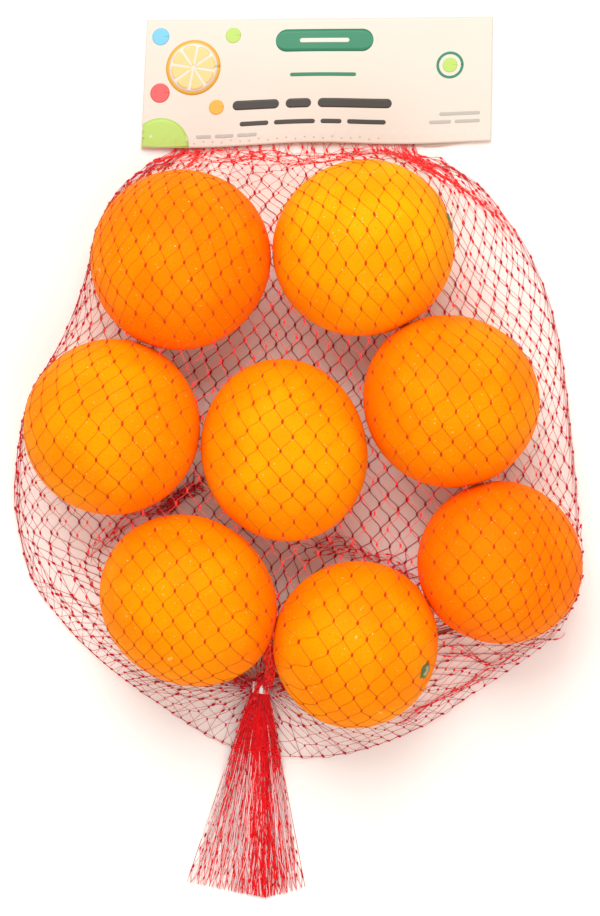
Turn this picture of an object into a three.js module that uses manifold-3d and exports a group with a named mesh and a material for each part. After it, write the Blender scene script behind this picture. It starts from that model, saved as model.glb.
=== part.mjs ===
// Net bag of oranges, lying on its back with the header label at the top.
// Millimetres. +X to the right, +Y towards the label, +Z up, the table at z = 0.
//
// Three pieces: the filled net, the label folded over its open end, and the
// metal clip that closes the other end. The net is one body: the oranges, the
// mesh that hangs between them and comes down to the table round them, the
// neck that goes into the label, and the gathered tail past the clip. Under
// the mesh the oranges' round undersides stand free.

import * as THREE from 'three';
import { mergeVertices } from 'three/addons/utils/BufferGeometryUtils.js';
import Module from 'manifold-3d';

const wasm = await Module();
wasm.setup();

// ---- Driving dimensions -------------------------------------------------

// Each orange: centre on the table, half its long and short width, and the
// turn of the long width from +X, anticlockwise, in degrees.
const ORANGES = [
  { x: -52.5, y: 87.2, long: 40.4, short: 39.2, turn: 40 },
  { x: 28.3, y: 92.1, long: 40.6, short: 38.8, turn: 16 },
  { x: -82.8, y: 12.5, long: 39.3, short: 38.7, turn: 32 },
  { x: -6.7, y: 2.3, long: 40.3, short: 36.7, turn: 98 },
  { x: 66.6, y: 24.4, long: 39.3, short: 38.3, turn: 146 },
  { x: -49.2, y: -63.9, long: 40.4, short: 36.6, turn: 142 },
  { x: 24.4, y: -83.7, long: 37.2, short: 36.4, turn: 66 },
  { x: 88.8, y: -47.4, long: 36.7, short: 36.0, turn: 168 },
];
const ORANGE_TALL = 0.985; // height over mean width
const REST_SINK = 0.35; // how far an orange is flattened where it stands

// The mesh on the table, from the left of the neck, anticlockwise.
const NET_OUTLINE = [
  [-55, 136.4], [-72, 128], [-84.5, 115], [-91, 99], [-95, 84], [-106, 54.5],
  [-122, 23.5], [-128, -8], [-127.5, -34], [-118, -59.5], [-91, -90.5],
  [-54, -117.5], [-33, -129.5], [-14, -134.8], [18, -134.2], [50, -124],
  [77, -107.5], [112, -83], [124.5, -63], [127.2, -42], [123, 3],
  [117.5, 48], [108, 81.5], [87, 118], [64, 133.5], [51, 136.6], [-2, 136.8],
];
const NET_EDGE = 2.2; // two layers of mesh, loosely laid
const HANG_FROM = 43; // where the mesh leaves the side of an orange
const HANG_REACH = 34; // it falls to about a third of that over this way
const EDGE_SHARPNESS = 6; // how late it comes down to its edge
const WEB_THICK = 13; // depth of the body between the oranges, below that mesh
const SKIRT_WIDTH = 0.07; // share of the outline's radius that lies on the table all round

const NECK = { left: -54, right: 50, inside: 130, end: 150, low: 0.8, high: 1.6 };

const CLIP = { x: -17.5, y: -104, z: 8, heading: 263, length: 5, wall: 0.9, gap: 0.35 };
const THROAT = { halfWidth: 2.8, halfHeight: 1.9 };
const GATHER_REACH = 25; // the mesh is drawn down round the clip as far as this

// The gathered mesh from between the oranges to the clip: how far before the
// clip, its height there and its half width and half height.
const FUNNEL = [
  { before: 26, z: 26, halfWidth: 10, halfHeight: 8 },
  { before: 14, z: 16, halfWidth: 6, halfHeight: 4.6 },
  { before: 6.5, z: 9.6, halfWidth: 3.4, halfHeight: 2.4 },
];
const TAIL = {
  start: { left: [-23, -111], right: [-14, -112] },
  end: { left: [-50.7, -191.8], right: [2.5, -194.3], bulge: 5.6 },
  overEdge: 0.24, // share of its length that lies on the mesh below
  onMesh: 4.0, // height of its middle there
  halfThick: 1.1,
};

const LABEL = {
  left: -71, right: 87.2, top: 197.6, bottomLeft: 138.9, bottomRight: 141.9,
  thick: 2.4, slot: 1.4, slotDeep: 13, wave: 0.9, waves: 2.5,
};

const ORANGE_SIDES = 26;
const ORANGE_RINGS = 14;
const OUTLINE_STEPS = 72;
const NET_RINGS = 10;
const BELOW_TABLE = -1; // the body is cut off level at the table
const TUBE_SIDES = 16;
const TAIL_STEPS = 8;
const LABEL_STEPS = 24;
const CLIP_SIDES = 32;

// ---- Geometry and solids --------------------------------------------------

function meshFrom(points, faces) {
  const geometry = new THREE.BufferGeometry();
  geometry.setAttribute('position', new THREE.Float32BufferAttribute(points.flat(), 3));
  geometry.setIndex(faces.flat());
  return geometry;
}

function solidFrom(geometry) {
  const bare = geometry.clone();
  bare.deleteAttribute('normal');
  bare.deleteAttribute('uv');
  const merged = mergeVertices(bare, 1e-4);
  return new wasm.Manifold(new wasm.Mesh({
    numProp: 3,
    vertProperties: new Float32Array(merged.attributes.position.array),
    triVerts: new Uint32Array(merged.index.array),
  }));
}

function geometryFrom(solid) {
  const { vertProperties, triVerts } = solid.getMesh();
  const geometry = new THREE.BufferGeometry();
  geometry.setAttribute('position', new THREE.BufferAttribute(vertProperties, 3));
  geometry.setIndex(new THREE.BufferAttribute(triVerts, 1));
  geometry.computeVertexNormals();
  return geometry;
}

// Rings of equally many points, one after the other, with a flat cap at each end.
function skin(rings) {
  const sides = rings[0].length;
  const points = rings.flat();
  const faces = [];
  for (let r = 0; r + 1 < rings.length; r++) {
    for (let s = 0; s < sides; s++) {
      const a = r * sides + s;
      const b = r * sides + ((s + 1) % sides);
      faces.push([a, b, a + sides], [b, b + sides, a + sides]);
    }
  }
  for (const [ring, first] of [[0, true], [rings.length - 1, false]]) {
    const middle = points.length;
    points.push(centreOf(rings[ring]));
    for (let s = 0; s < sides; s++) {
      const a = ring * sides + s;
      const b = ring * sides + ((s + 1) % sides);
      faces.push(first ? [b, a, middle] : [a, b, middle]);
    }
  }
  return meshFrom(points, faces);
}

function centreOf(ring) {
  const sum = ring.reduce((t, p) => [t[0] + p[0], t[1] + p[1], t[2] + p[2]], [0, 0, 0]);
  return sum.map((v) => v / ring.length);
}

// ---- Oranges --------------------------------------------------------------

function orangeHalfHeight(orange) {
  return ((orange.long + orange.short) / 2) * ORANGE_TALL;
}

function orangeSolid(orange) {
  const tall = orangeHalfHeight(orange);
  const geometry = new THREE.SphereGeometry(1, ORANGE_SIDES, ORANGE_RINGS);
  geometry.rotateX(Math.PI / 2);
  geometry.scale(orange.long, orange.short, tall);
  geometry.rotateZ(THREE.MathUtils.degToRad(orange.turn));
  geometry.translate(orange.x, orange.y, tall - REST_SINK);
  return solidFrom(geometry);
}

// How far a place on the table is outside an orange's widest ring.
function outsideOrange(orange, x, y) {
  const turn = THREE.MathUtils.degToRad(orange.turn);
  const dx = x - orange.x;
  const dy = y - orange.y;
  const along = dx * Math.cos(turn) + dy * Math.sin(turn);
  const across = dy * Math.cos(turn) - dx * Math.sin(turn);
  const share = Math.hypot(along / orange.long, across / orange.short);
  return (share - 1) * (orange.long + orange.short) / 2;
}

// ---- Mesh between and around the oranges ------------------------------------

// The upper layer hangs from the orange beside it and falls away from it, lies
// flat at the edge of the bag, and is drawn down where the clip gathers it.
function netHeight(x, y, share) {
  const pulls = ORANGES.map((orange) =>
    Math.exp(-4 * Math.max(outsideOrange(orange, x, y), 0) / HANG_REACH));
  const hung = HANG_FROM * Math.min(pulls.reduce((a, b) => a + b) ** 0.25, 1.1);
  const toClip = Math.hypot(x - CLIP.x, y - CLIP.y) / GATHER_REACH;
  const drawnDown = 1 - Math.exp(-(toClip ** 2));
  return NET_EDGE + (hung - NET_EDGE) * (1 - share ** EDGE_SHARPNESS) * drawnDown;
}

// The underside runs level with that mesh, WEB_THICK below it, and ends below
// the table near the outline, so that the mesh lies on the table there.
function netUnderside(x, y, share) {
  const inside = 1 - THREE.MathUtils.smoothstep(share, 1 - 2.4 * SKIRT_WIDTH, 1 - SKIRT_WIDTH);
  const raised = netHeight(x, y, share) - WEB_THICK;
  return BELOW_TABLE + Math.max(raised - BELOW_TABLE, 0) * inside;
}

// Rings of points round the middle of the bag, the first ring being its middle
// point, at heights given by heightAt(x, y, share of the outline's radius).
function blanket(edge, heightAt) {
  const points = [[0, 0, heightAt(0, 0, 0)]];
  for (let r = 1; r <= NET_RINGS; r++) {
    const share = (r / NET_RINGS) ** 0.8;
    for (const p of edge) {
      const [x, y] = [p.x * share, p.y * share];
      points.push([x, y, heightAt(x, y, share)]);
    }
  }
  return points;
}

function netSolid() {
  const curve = new THREE.CatmullRomCurve3(
    NET_OUTLINE.map(([x, y]) => new THREE.Vector3(x, y, 0)), true, 'centripetal');
  const edge = curve.getSpacedPoints(OUTLINE_STEPS).slice(0, OUTLINE_STEPS);
  const upper = blanket(edge, netHeight);
  const lower = blanket(edge, netUnderside);
  const under = upper.length;
  const rim = 1 + (NET_RINGS - 1) * OUTLINE_STEPS;

  const faces = [];
  for (let s = 0; s < OUTLINE_STEPS; s++) {
    const next = (s + 1) % OUTLINE_STEPS;
    const cells = [[0, 1 + s, 1 + next]];
    for (let r = 1; r < NET_RINGS; r++) {
      const a = 1 + (r - 1) * OUTLINE_STEPS + s;
      const b = 1 + (r - 1) * OUTLINE_STEPS + next;
      cells.push([a, a + OUTLINE_STEPS, b + OUTLINE_STEPS], [a, b + OUTLINE_STEPS, b]);
    }
    faces.push(...cells, ...cells.map(([a, b, c]) => [under + a, under + c, under + b]));
    faces.push([rim + s, under + rim + s, under + rim + next], [rim + s, under + rim + next, rim + next]);
  }
  return solidFrom(meshFrom([...upper, ...lower], faces));
}

function neckSolid() {
  const box = new THREE.BoxGeometry(
    NECK.right - NECK.left, NECK.end - NECK.inside, NECK.high - NECK.low);
  box.translate((NECK.left + NECK.right) / 2, (NECK.inside + NECK.end) / 2,
    (NECK.low + NECK.high) / 2);
  return solidFrom(box);
}

// ---- Throat and tail ----------------------------------------------------------

// A flattened round section between its left and right edge, at height z.
// bulge moves its middle on past the line between the edges.
function section(left, right, z, halfHeight, bulge = 0) {
  const ring = [];
  const middle = [(left[0] + right[0]) / 2, (left[1] + right[1]) / 2];
  const half = [(right[0] - left[0]) / 2, (right[1] - left[1]) / 2];
  const width = Math.hypot(...half);
  const onward = [half[1] / width, -half[0] / width];
  for (let s = 0; s < TUBE_SIDES; s++) {
    const angle = (2 * Math.PI * s) / TUBE_SIDES;
    const u = Math.cos(angle);
    const push = bulge * (1 - u * u);
    ring.push([
      middle[0] + half[0] * u + onward[0] * push,
      middle[1] + half[1] * u + onward[1] * push,
      z + halfHeight * Math.sin(angle),
    ]);
  }
  return ring;
}

// A section square to the clip's axis, a distance before (or past) its middle.
function sectionByClip(before, z, halfWidth, halfHeight) {
  const heading = THREE.MathUtils.degToRad(CLIP.heading);
  const ahead = [Math.cos(heading), Math.sin(heading)];
  const side = [-ahead[1], ahead[0]];
  const x = CLIP.x - ahead[0] * before;
  const y = CLIP.y - ahead[1] * before;
  return section([x - side[0] * halfWidth, y - side[1] * halfWidth],
    [x + side[0] * halfWidth, y + side[1] * halfWidth], z, halfHeight);
}

function mix(a, b, t) {
  return Array.isArray(a) ? a.map((v, i) => mix(v, b[i], t)) : a + (b - a) * t;
}

// The tail lies on the mesh below it as far as the bag's edge, then on the table.
function tailSection(t) {
  const settled = THREE.MathUtils.smoothstep(t, TAIL.overEdge, TAIL.overEdge + 0.22);
  const z = mix(TAIL.onMesh, TAIL.halfThick, settled);
  const left = mix(TAIL.start.left, TAIL.end.left, t);
  const right = mix(TAIL.start.right, TAIL.end.right, t);
  return section(left, right, z, TAIL.halfThick, TAIL.end.bulge * t);
}

function gatherSolid() {
  const inClip = CLIP.length / 2 + 0.8;
  const rings = FUNNEL.map((f) => sectionByClip(f.before, f.z, f.halfWidth, f.halfHeight));
  for (const before of [inClip, -inClip]) {
    rings.push(sectionByClip(before, CLIP.z, THROAT.halfWidth, THROAT.halfHeight));
  }
  for (let k = 0; k <= TAIL_STEPS; k++) rings.push(tailSection(k / TAIL_STEPS));
  return solidFrom(skin(rings));
}

function tableSide() {
  const size = 1000;
  const box = new THREE.BoxGeometry(size, size, size);
  box.translate(0, 0, size / 2);
  return solidFrom(box);
}

function filledNet() {
  let net = netSolid();
  for (const orange of ORANGES) net = net.add(orangeSolid(orange));
  net = net.add(neckSolid()).add(gatherSolid()).intersect(tableSide());
  return geometryFrom(net);
}

// ---- Label and clip ---------------------------------------------------------------

// A strip folded over the net's end: solid where the two flaps are welded,
// open at the lower edge where the neck of the net goes in.
function labelGeometry() {
  const { thick, slot, slotDeep, top } = LABEL;
  const bottom = Math.min(LABEL.bottomLeft, LABEL.bottomRight);
  const lowFace = (thick - slot) / 2;
  const round = thick / 2;
  const profile = new THREE.Shape();
  profile.moveTo(bottom, 0);
  profile.lineTo(top - round, 0);
  profile.absarc(top - round, round, round, -Math.PI / 2, Math.PI / 2, false);
  profile.lineTo(bottom, thick);
  profile.lineTo(bottom, thick - lowFace);
  profile.lineTo(bottom + slotDeep, thick - lowFace);
  profile.lineTo(bottom + slotDeep, lowFace);
  profile.lineTo(bottom, lowFace);
  profile.closePath();
  const width = LABEL.right - LABEL.left;
  const geometry = new THREE.ExtrudeGeometry(profile, {
    depth: width, steps: LABEL_STEPS, bevelEnabled: false, curveSegments: 6,
  });
  // The profile's own x, y and depth become the label's y, z and x.
  const place = geometry.attributes.position;
  for (let i = 0; i < place.count; i++) {
    const [y, z, along] = [place.getX(i), place.getY(i), place.getZ(i)];
    const share = along / width;
    const edge = mix(LABEL.bottomLeft, LABEL.bottomRight, share)
      + LABEL.wave * Math.sin(2 * Math.PI * LABEL.waves * share);
    const nearEdge = (top - y) / (top - bottom);
    place.setXYZ(i, LABEL.left + along, y + (edge - bottom) * nearEdge, z);
  }
  return geometryFrom(solidFrom(geometry));
}

function clipGeometry() {
  const { length, wall, gap, heading } = CLIP;
  const ring = (extra) => {
    const shape = new THREE.Shape();
    shape.absellipse(0, 0, THROAT.halfWidth + extra, THROAT.halfHeight + extra,
      0, 2 * Math.PI, false);
    return shape;
  };
  const band = ring(gap + wall);
  band.holes.push(ring(gap));
  const geometry = new THREE.ExtrudeGeometry(band, {
    depth: length, bevelEnabled: false, curveSegments: CLIP_SIDES,
  });
  geometry.translate(0, 0, -length / 2);
  geometry.rotateX(Math.PI / 2);
  geometry.rotateZ(THREE.MathUtils.degToRad(heading - 270));
  return geometryFrom(solidFrom(geometry));
}

// ---- The bag ------------------------------------------------------------------------

function piece(name, geometry, colour, roughness, metalness = 0) {
  const material = new THREE.MeshStandardMaterial({ color: colour, roughness, metalness });
  const mesh = new THREE.Mesh(geometry, material);
  mesh.name = name;
  return mesh;
}

const bag = new THREE.Group();
bag.add(piece('net', filledNet(), 0xff9a10, 0.5));
bag.add(piece('header_label', labelGeometry(), 0xfbf1df, 0.45));
const clip = piece('clip', clipGeometry(), 0xc8cacc, 0.35, 0.9);
clip.position.set(CLIP.x, CLIP.y, CLIP.z);
bag.add(clip);

export default bag;
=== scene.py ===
"""A mesh bag of eight oranges with a folded header label. Metres, +Z up, +Y towards the label."""

import bmesh
import bpy
import numpy as np
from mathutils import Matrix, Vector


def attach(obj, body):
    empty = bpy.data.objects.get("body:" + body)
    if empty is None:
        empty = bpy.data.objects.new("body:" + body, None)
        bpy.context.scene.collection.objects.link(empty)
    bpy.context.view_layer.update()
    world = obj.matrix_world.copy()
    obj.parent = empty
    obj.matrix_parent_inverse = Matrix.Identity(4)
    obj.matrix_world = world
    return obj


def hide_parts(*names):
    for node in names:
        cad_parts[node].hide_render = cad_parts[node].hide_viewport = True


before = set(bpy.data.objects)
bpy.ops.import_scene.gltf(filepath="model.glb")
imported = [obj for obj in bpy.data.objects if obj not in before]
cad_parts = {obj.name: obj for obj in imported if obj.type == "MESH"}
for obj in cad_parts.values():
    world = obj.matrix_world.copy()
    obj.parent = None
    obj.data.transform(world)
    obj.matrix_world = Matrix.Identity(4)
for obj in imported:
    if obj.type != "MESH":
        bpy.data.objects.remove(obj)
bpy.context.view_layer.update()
MM = 0.001

# ---------------------------------------------------------------- camera, light and table
# The bag is seen from straight above, two metres up, with the label at the top of the picture.
# A wide soft box hangs over the label's side, a weaker one over the other, and the room is white.
CAMERA_PLACE = (0.2 * MM, -0.9 * MM, 2.0)
# The sensor in mm, and the length of table from the picture's lower to its upper edge in m
SENSOR = 36.0
SEEN_LENGTH = 0.4131
# Each soft box: its place and width in m, and its power in W
SOFT_BOXES = {
    "box_over_label": ((-0.15, 1.1, 1.55), 1.2, 27.0),
    "box_over_tail": ((0.3, -1.0, 1.4), 1.4, 7.5),
}
LIT_POINT = (0.0, 0.0, 0.03)
ROOM_LIGHT = 0.78
TABLE_SIZE = 6.0
TABLE_COLOUR = (0.93, 0.865, 0.81)


def soft_box(name, place, size, power):
    """A square area light whose -Z axis lies along the line to the lit point."""
    lamp = bpy.data.lights.new(name, "AREA")
    lamp.shape = "SQUARE"
    lamp.size = size
    lamp.energy = power
    holder = bpy.data.objects.new(name, lamp)
    holder.location = place
    line = Vector(LIT_POINT) - Vector(place)
    holder.rotation_euler = line.to_track_quat("-Z", "Y").to_euler()
    bpy.context.scene.collection.objects.link(holder)


view = bpy.data.cameras.new("view")
view.sensor_width = SENSOR
view.lens = SENSOR * CAMERA_PLACE[2] / SEEN_LENGTH
camera = bpy.data.objects.new("view", view)
camera.location = CAMERA_PLACE
bpy.context.scene.collection.objects.link(camera)
bpy.context.scene.camera = camera
bpy.context.scene.view_settings.view_transform = "Standard"

for name, (place, size, power) in SOFT_BOXES.items():
    soft_box(name, place, size, power)
room = bpy.data.worlds.new("room")
room.use_nodes = True
air = room.node_tree.nodes["Background"]
air.inputs["Color"].default_value = (1.0, 1.0, 1.0, 1.0)
air.inputs["Strength"].default_value = ROOM_LIGHT
bpy.context.scene.world = room


def painted(name, colour, roughness=0.5, **sockets):
    """A material whose Principled shader has these constants on its own sockets."""
    paint = bpy.data.materials.new(name)
    paint.use_nodes = True
    shader = paint.node_tree.nodes["Principled BSDF"]
    shader.inputs["Base Color"].default_value = (*colour, 1.0)
    shader.inputs["Roughness"].default_value = roughness
    for socket, value in sockets.items():
        shader.inputs[socket.replace("_", " ")].default_value = value
    return paint


def mesh_piece(name, points, faces, paint, smooth=True):
    """An object at the origin, of points (..., 3) and faces, an array or lists of point numbers."""
    mesh = bpy.data.meshes.new(name)
    faces = faces.tolist() if isinstance(faces, np.ndarray) else faces
    mesh.from_pydata(points.reshape(-1, 3).tolist(), [], faces)
    mesh.validate()
    mesh.polygons.foreach_set("use_smooth", np.full(len(mesh.polygons), smooth))
    mesh.materials.append(paint)
    piece = bpy.data.objects.new(name, mesh)
    bpy.context.scene.collection.objects.link(piece)
    return piece


table_corners = np.array([(-1, -1, 0), (1, -1, 0), (1, 1, 0), (-1, 1, 0)]) * TABLE_SIZE / 2
table_paint = painted("pale_table", TABLE_COLOUR, 0.8)
table = mesh_piece("table", table_corners, [[0, 1, 2, 3]], table_paint, smooth=False)

# ---------------------------------------------------------------- oranges
# Eight loose ripe oranges, no two alike: slightly squashed balls with a waxy, pored peel.
# Each rests on the lower mesh, so its underside is pressed a little flat there.

# x, y, half length, half width in mm, turn of the long axis in degrees
ORANGES = np.array([
    (-52.5, 87.2, 40.4, 39.2, 40), (28.3, 92.1, 40.6, 38.8, 16),
    (-82.8, 12.5, 39.3, 38.7, 32), (-6.7, 2.3, 40.3, 36.7, 98),
    (66.6, 24.4, 39.3, 38.3, 146), (-49.2, -63.9, 40.4, 36.6, 142),
    (24.4, -83.7, 37.2, 36.4, 66), (88.8, -47.4, 36.7, 36.0, 168),
])
ORANGE_COUNT = len(ORANGES)
ORANGE_TALL = 0.985
REST_SINK = 0.35 * MM
UNDERSIDE = 0.62 * MM
# Where each stem end points: heading from +X towards +Y, and height above level, in degrees
STEM_ENDS = np.radians([
    (200, -30), (17, 6), (150, -50), (60, -65), (320, -40), (240, -20), (-19, 25), (300, -35),
])
PEEL_COLOURS = [
    (1.0, 0.202, 0.0006), (1.0, 0.325, 0.0012), (1.0, 0.255, 0.0006), (1.0, 0.305, 0.0010),
    (1.0, 0.240, 0.0006), (1.0, 0.250, 0.0004), (1.0, 0.256, 0.0006), (1.0, 0.184, 0.0006),
]
# The peel's own colour times these, for its yellower and redder patches and its pores
YELLOWER = (1.0, 1.11, 1.2)
REDDER = (0.98, 0.90, 0.85)
IN_PORE = (0.91, 0.70, 0.7)
# Pale specks scattered in the peel's colour: painted highlights of its wax
HIGHLIGHT_SPECK_COLOUR = (1.0, 0.72, 0.30)
SCAR_COLOUR = (0.93, 0.50, 0.13)
PORES_PER_METRE = 760
# Broad swellings, and the dents at an orange's two ends: depth as a share of the radius, and half
# width in radians
SWELLINGS = 7
SWELL = 0.0075
STEM_DENT = (0.030, 0.17)
TIP_DENT = (0.010, 0.10)
PEEL_RINGS = 92
PEEL_SIDES = 132


def unit(arrows):
    """Arrows (..., 3) over their own length."""
    return arrows / np.maximum(np.linalg.norm(arrows, axis=-1, keepdims=True), 1e-9)


half_long, half_wide = ORANGES[:, 2] * MM, ORANGES[:, 3] * MM
half_tall = (half_long + half_wide) / 2 * ORANGE_TALL
centres = np.column_stack([ORANGES[:, :2] * MM, half_tall - REST_SINK])
turns = np.radians(ORANGES[:, 4])
stem_dirs = np.column_stack([
    np.cos(STEM_ENDS[:, 0]) * np.cos(STEM_ENDS[:, 1]),
    np.sin(STEM_ENDS[:, 0]) * np.cos(STEM_ENDS[:, 1]),
    np.sin(STEM_ENDS[:, 1]),
])
draw = np.random.default_rng(11)
bump_dirs = unit(draw.normal(size=(ORANGE_COUNT, SWELLINGS, 3)))
bump_sizes = draw.uniform(-1, 1, (ORANGE_COUNT, SWELLINGS)) * SWELL


def orange_radius(number, direction):
    """Distance from an orange's centre to its peel along unit directions (..., 3): an ellipsoid's
    radius, times 1 + a few broad cosine swellings, less a shallow dent at both ends."""
    along_x = direction[..., 0] * np.cos(turns[number]) + direction[..., 1] * np.sin(turns[number])
    along_y = direction[..., 1] * np.cos(turns[number]) - direction[..., 0] * np.sin(turns[number])
    radius = ((along_x / half_long[number]) ** 2 + (along_y / half_wide[number]) ** 2
              + (direction[..., 2] / half_tall[number]) ** 2) ** -0.5
    lean = direction @ bump_dirs[number].T
    swell = (np.cos(2.6 * np.arccos(np.clip(lean, -1, 1))) * bump_sizes[number]).sum(-1)
    off_stem = np.arccos(np.clip(direction @ stem_dirs[number], -1, 1))
    dent = (STEM_DENT[0] * np.exp(-((off_stem / STEM_DENT[1]) ** 2))
            + TIP_DENT[0] * np.exp(-(((np.pi - off_stem) / TIP_DENT[1]) ** 2)))
    return radius * (1 + swell - dent)


def about_stem(number, ahead, out, angle):
    """Arrows that go ahead along an orange's stem axis, and out across it at an angle round it."""
    axis = stem_dirs[number]
    helper = np.where(abs(axis[2]) < 0.9, [0.0, 0.0, 1.0], [1.0, 0.0, 0.0])
    first = unit(np.cross(helper, axis))
    second = np.cross(axis, first)
    return (ahead[..., None] * axis + (out * np.cos(angle))[..., None] * first
            + (out * np.sin(angle))[..., None] * second)


def own_place(paint):
    """A material's Object coordinates: the place on its piece in metres."""
    nodes = paint.node_tree.nodes
    source = nodes.get("Texture Coordinate") or nodes.new("ShaderNodeTexCoord")
    return source.outputs["Object"]


def noise(paint, scale, detail, roughness=0.5):
    """Soft noise from 0 to 1 over a piece's place, with scale patches to a metre."""
    made = paint.node_tree.nodes.new("ShaderNodeTexNoise")
    made.inputs["Scale"].default_value = scale
    made.inputs["Detail"].default_value = detail
    made.inputs["Roughness"].default_value = roughness
    paint.node_tree.links.new(own_place(paint), made.inputs["Vector"])
    return made.outputs["Fac"]


def ramp(paint, source, low, high):
    """0 where the source is low and 1 where it is high, with a smooth step between."""
    made = paint.node_tree.nodes.new("ShaderNodeMapRange")
    made.interpolation_type = "SMOOTHSTEP"
    made.inputs["From Min"].default_value = low
    made.inputs["From Max"].default_value = high
    paint.node_tree.links.new(source, made.inputs["Value"])
    return made.outputs["Result"]


def blend(paint, share, first, second, how="MIX"):
    """A mix of two colours by a share: each of the three is a constant or another node's output."""
    made = paint.node_tree.nodes.new("ShaderNodeMix")
    made.data_type = "RGBA"
    made.blend_type = how
    for socket, value in zip((made.inputs[0], made.inputs[6], made.inputs[7]), (share, first, second)):
        if isinstance(value, bpy.types.NodeSocket):
            paint.node_tree.links.new(value, socket)
        else:
            socket.default_value = (*value, 1.0) if isinstance(value, tuple) else value
    return made.outputs[2]


def coat(paint, tone):
    """Makes a tone the colour of a material's shader."""
    paint.node_tree.links.new(tone, paint.node_tree.nodes["Principled BSDF"].inputs["Base Color"])


def press(paint, height, strength, depth, under=None):
    """Makes a material uneven by a height from 0 to 1 times the depth, over an unevenness under it."""
    made = paint.node_tree.nodes.new("ShaderNodeBump")
    made.inputs["Strength"].default_value = strength
    made.inputs["Distance"].default_value = depth
    links = paint.node_tree.links
    links.new(height, made.inputs["Height"])
    if under is not None:
        links.new(under, made.inputs["Normal"])
    links.new(made.outputs["Normal"], paint.node_tree.nodes["Principled BSDF"].inputs["Normal"])
    return made.outputs["Normal"]


def peel_paint(name, colour):
    """Waxy citrus peel: the colour drifts between a yellower and a redder tone over patches of 2 cm,
    oil pores 1.3 mm apart are pressed in and darker, scars are scattered, and pale specks are
    scattered as painted highlights."""
    paint = painted(name, colour, 0.5, Specular_IOR_Level=0.02)
    nodes, links = paint.node_tree.nodes, paint.node_tree.links
    pores = nodes.new("ShaderNodeTexVoronoi")
    pores.feature = "SMOOTH_F1"
    pores.inputs["Scale"].default_value = PORES_PER_METRE
    pores.inputs["Smoothness"].default_value = 0.6
    links.new(own_place(paint), pores.inputs["Vector"])
    off_pore = pores.outputs["Distance"]
    yellow, red, dark = (tuple(np.array(colour) * tint) for tint in (YELLOWER, REDDER, IN_PORE))
    tone = blend(paint, ramp(paint, noise(paint, 42, 3), 0.35, 0.68), red, yellow)
    tone = blend(paint, ramp(paint, off_pore, 0.26, 0.06), tone, dark)
    # Pale specks of painted highlight
    tone = blend(paint, ramp(paint, noise(paint, 1150, 1), 0.735, 0.80), tone, HIGHLIGHT_SPECK_COLOUR)
    scars = nodes.new("ShaderNodeMath")
    scars.operation = "MULTIPLY"
    links.new(ramp(paint, noise(paint, 95, 4, 0.7), 0.66, 0.71), scars.inputs[0])
    links.new(ramp(paint, noise(paint, 420, 2), 0.48, 0.6), scars.inputs[1])
    coat(paint, blend(paint, scars.outputs[0], tone, SCAR_COLOUR))
    waves = press(paint, noise(paint, 190, 2), 0.35, 0.5 * MM)
    press(paint, ramp(paint, off_pore, 0.02, 0.42), 0.8, 0.12 * MM, waves)
    return paint


def orange_points(number):
    """A ball by angles from its stem end and round it, at orange_radius, kept above the underside."""
    off = np.linspace(0, np.pi, PEEL_RINGS)[1:-1, None]
    round_it = np.linspace(0, 2 * np.pi, PEEL_SIDES, endpoint=False)[None]
    dirs = about_stem(number, np.cos(off), np.sin(off), round_it)
    ends = np.array([stem_dirs[number], -stem_dirs[number]])
    dirs = np.vstack([dirs.reshape(-1, 3), ends])
    points = centres[number] + dirs * orange_radius(number, dirs)[:, None]
    points[:, 2] = np.maximum(points[:, 2], UNDERSIDE)
    return points


def grid_faces(rows, columns, start=0, wrap=False):
    """Quads of a grid of rows x columns points, closed round the columns where wrap is set."""
    across = np.arange(columns if wrap else columns - 1)
    row = np.arange(rows - 1)[:, None] * columns
    after = (across + 1) % columns
    quads = np.stack([row + across, row + after, row + columns + after, row + columns + across], -1)
    return quads.reshape(-1, 4) + start


def ball_faces(rings, sides):
    """Quads of the open rings, and triangles to the two end points that follow them."""
    open_rings = rings - 2
    turn = np.arange(sides)
    after = (turn + 1) % sides
    first, base = open_rings * sides, (open_rings - 1) * sides
    cap = np.stack([np.full(sides, first), after, turn], -1)
    bottom = np.stack([np.full(sides, first + 1), base + turn, base + after], -1)
    body = grid_faces(open_rings, sides, wrap=True)
    return body[:, ::-1].tolist() + cap[:, ::-1].tolist() + bottom[:, ::-1].tolist()


def outward(piece):
    """Turns a closed mesh's faces outwards."""
    shape = bmesh.new()
    shape.from_mesh(piece.data)
    bmesh.ops.recalc_face_normals(shape, faces=shape.faces)
    shape.to_mesh(piece.data)
    shape.free()


peel_faces = ball_faces(PEEL_RINGS, PEEL_SIDES)
for number, colour in enumerate(PEEL_COLOURS):
    peel = peel_paint(f"peel_{number + 1}", colour)
    orange = mesh_piece(f"orange_{number + 1}", orange_points(number), peel_faces, peel)
    outward(orange)
    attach(orange, "root")
    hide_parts("net")

# ---------------------------------------------------------------- stem ends
# The dry star of five green sepals that stays on each orange, with the dark scar of the stem inside.
# It is part of the fruit and sits in the shallow dent at its stem end.
STAR_REACH = 4.0 * MM
STAR_TALL = 0.9 * MM
STAR_SINK = 0.1 * MM
STAR_RINGS = 14
STAR_SIDES = 40
SCAR_TONE = (0.12, 0.08, 0.03)
SEPAL_TONE = np.array([0.15, 0.19, 0.035])
RING_TONE = np.array([0.75, 0.66, 0.32])


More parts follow.
